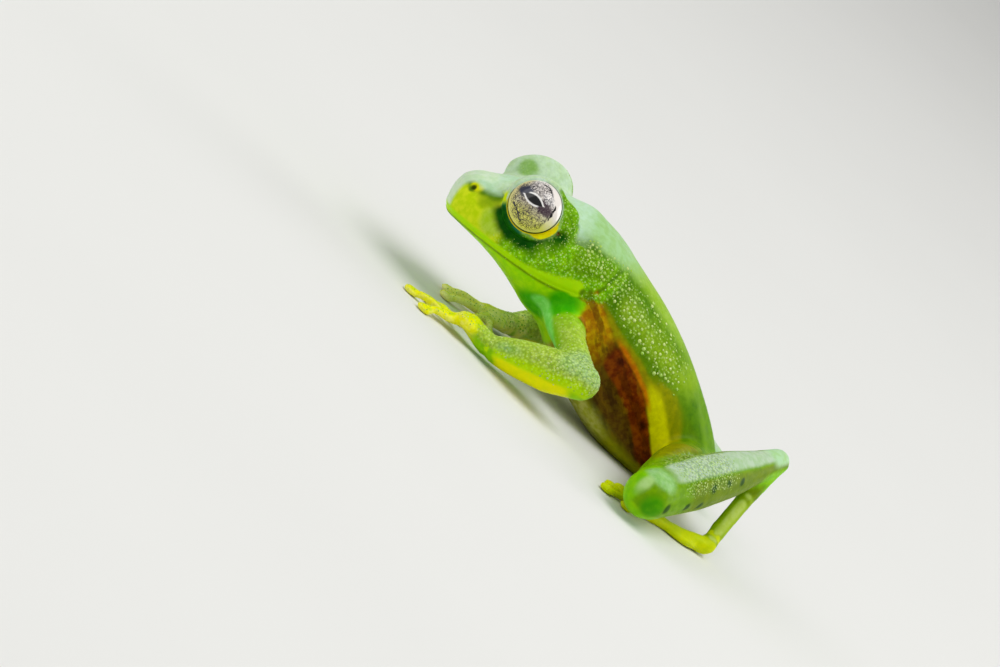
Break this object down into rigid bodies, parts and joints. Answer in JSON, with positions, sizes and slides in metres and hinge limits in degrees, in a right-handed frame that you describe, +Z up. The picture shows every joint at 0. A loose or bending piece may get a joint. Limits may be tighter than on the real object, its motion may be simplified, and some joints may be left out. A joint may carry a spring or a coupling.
{
  "type": "glass frog",
  "caption": "Life-size still model of a small green glass frog sitting low, head raised, with large eyes, round toe pads and folded hind legs.",
  "frame": {"origin": "on the floor, below the middle of the bounding box", "axes": "+Z up from the floor, -Y the way the frog faces, +X the frog's left"},
  "size_m": [0.0304, 0.0262, 0.0107],
  "materials": {
    "skin": "moist skin, leaf green with small pale dots, paler and yellower below",
    "eye": "glossy ivory-yellow iris with fine dark veins and a level oval black pupil"
  },
  "bodies": {
    "root": {"head": "skin", "torso": "skin", "eye_left": "eye", "eye_right": "eye", "upper_arm_left": "skin", "upper_arm_right": "skin", "forearm_left": "skin", "forearm_right": "skin", "hand_left": "skin", "hand_right": "skin", "thigh_left": "skin", "thigh_right": "skin", "shank_left": "skin", "shank_right": "skin", "tarsus_left": "skin", "tarsus_right": "skin", "foot_left": "skin", "foot_right": "skin"}
  },
  "joints": []
}
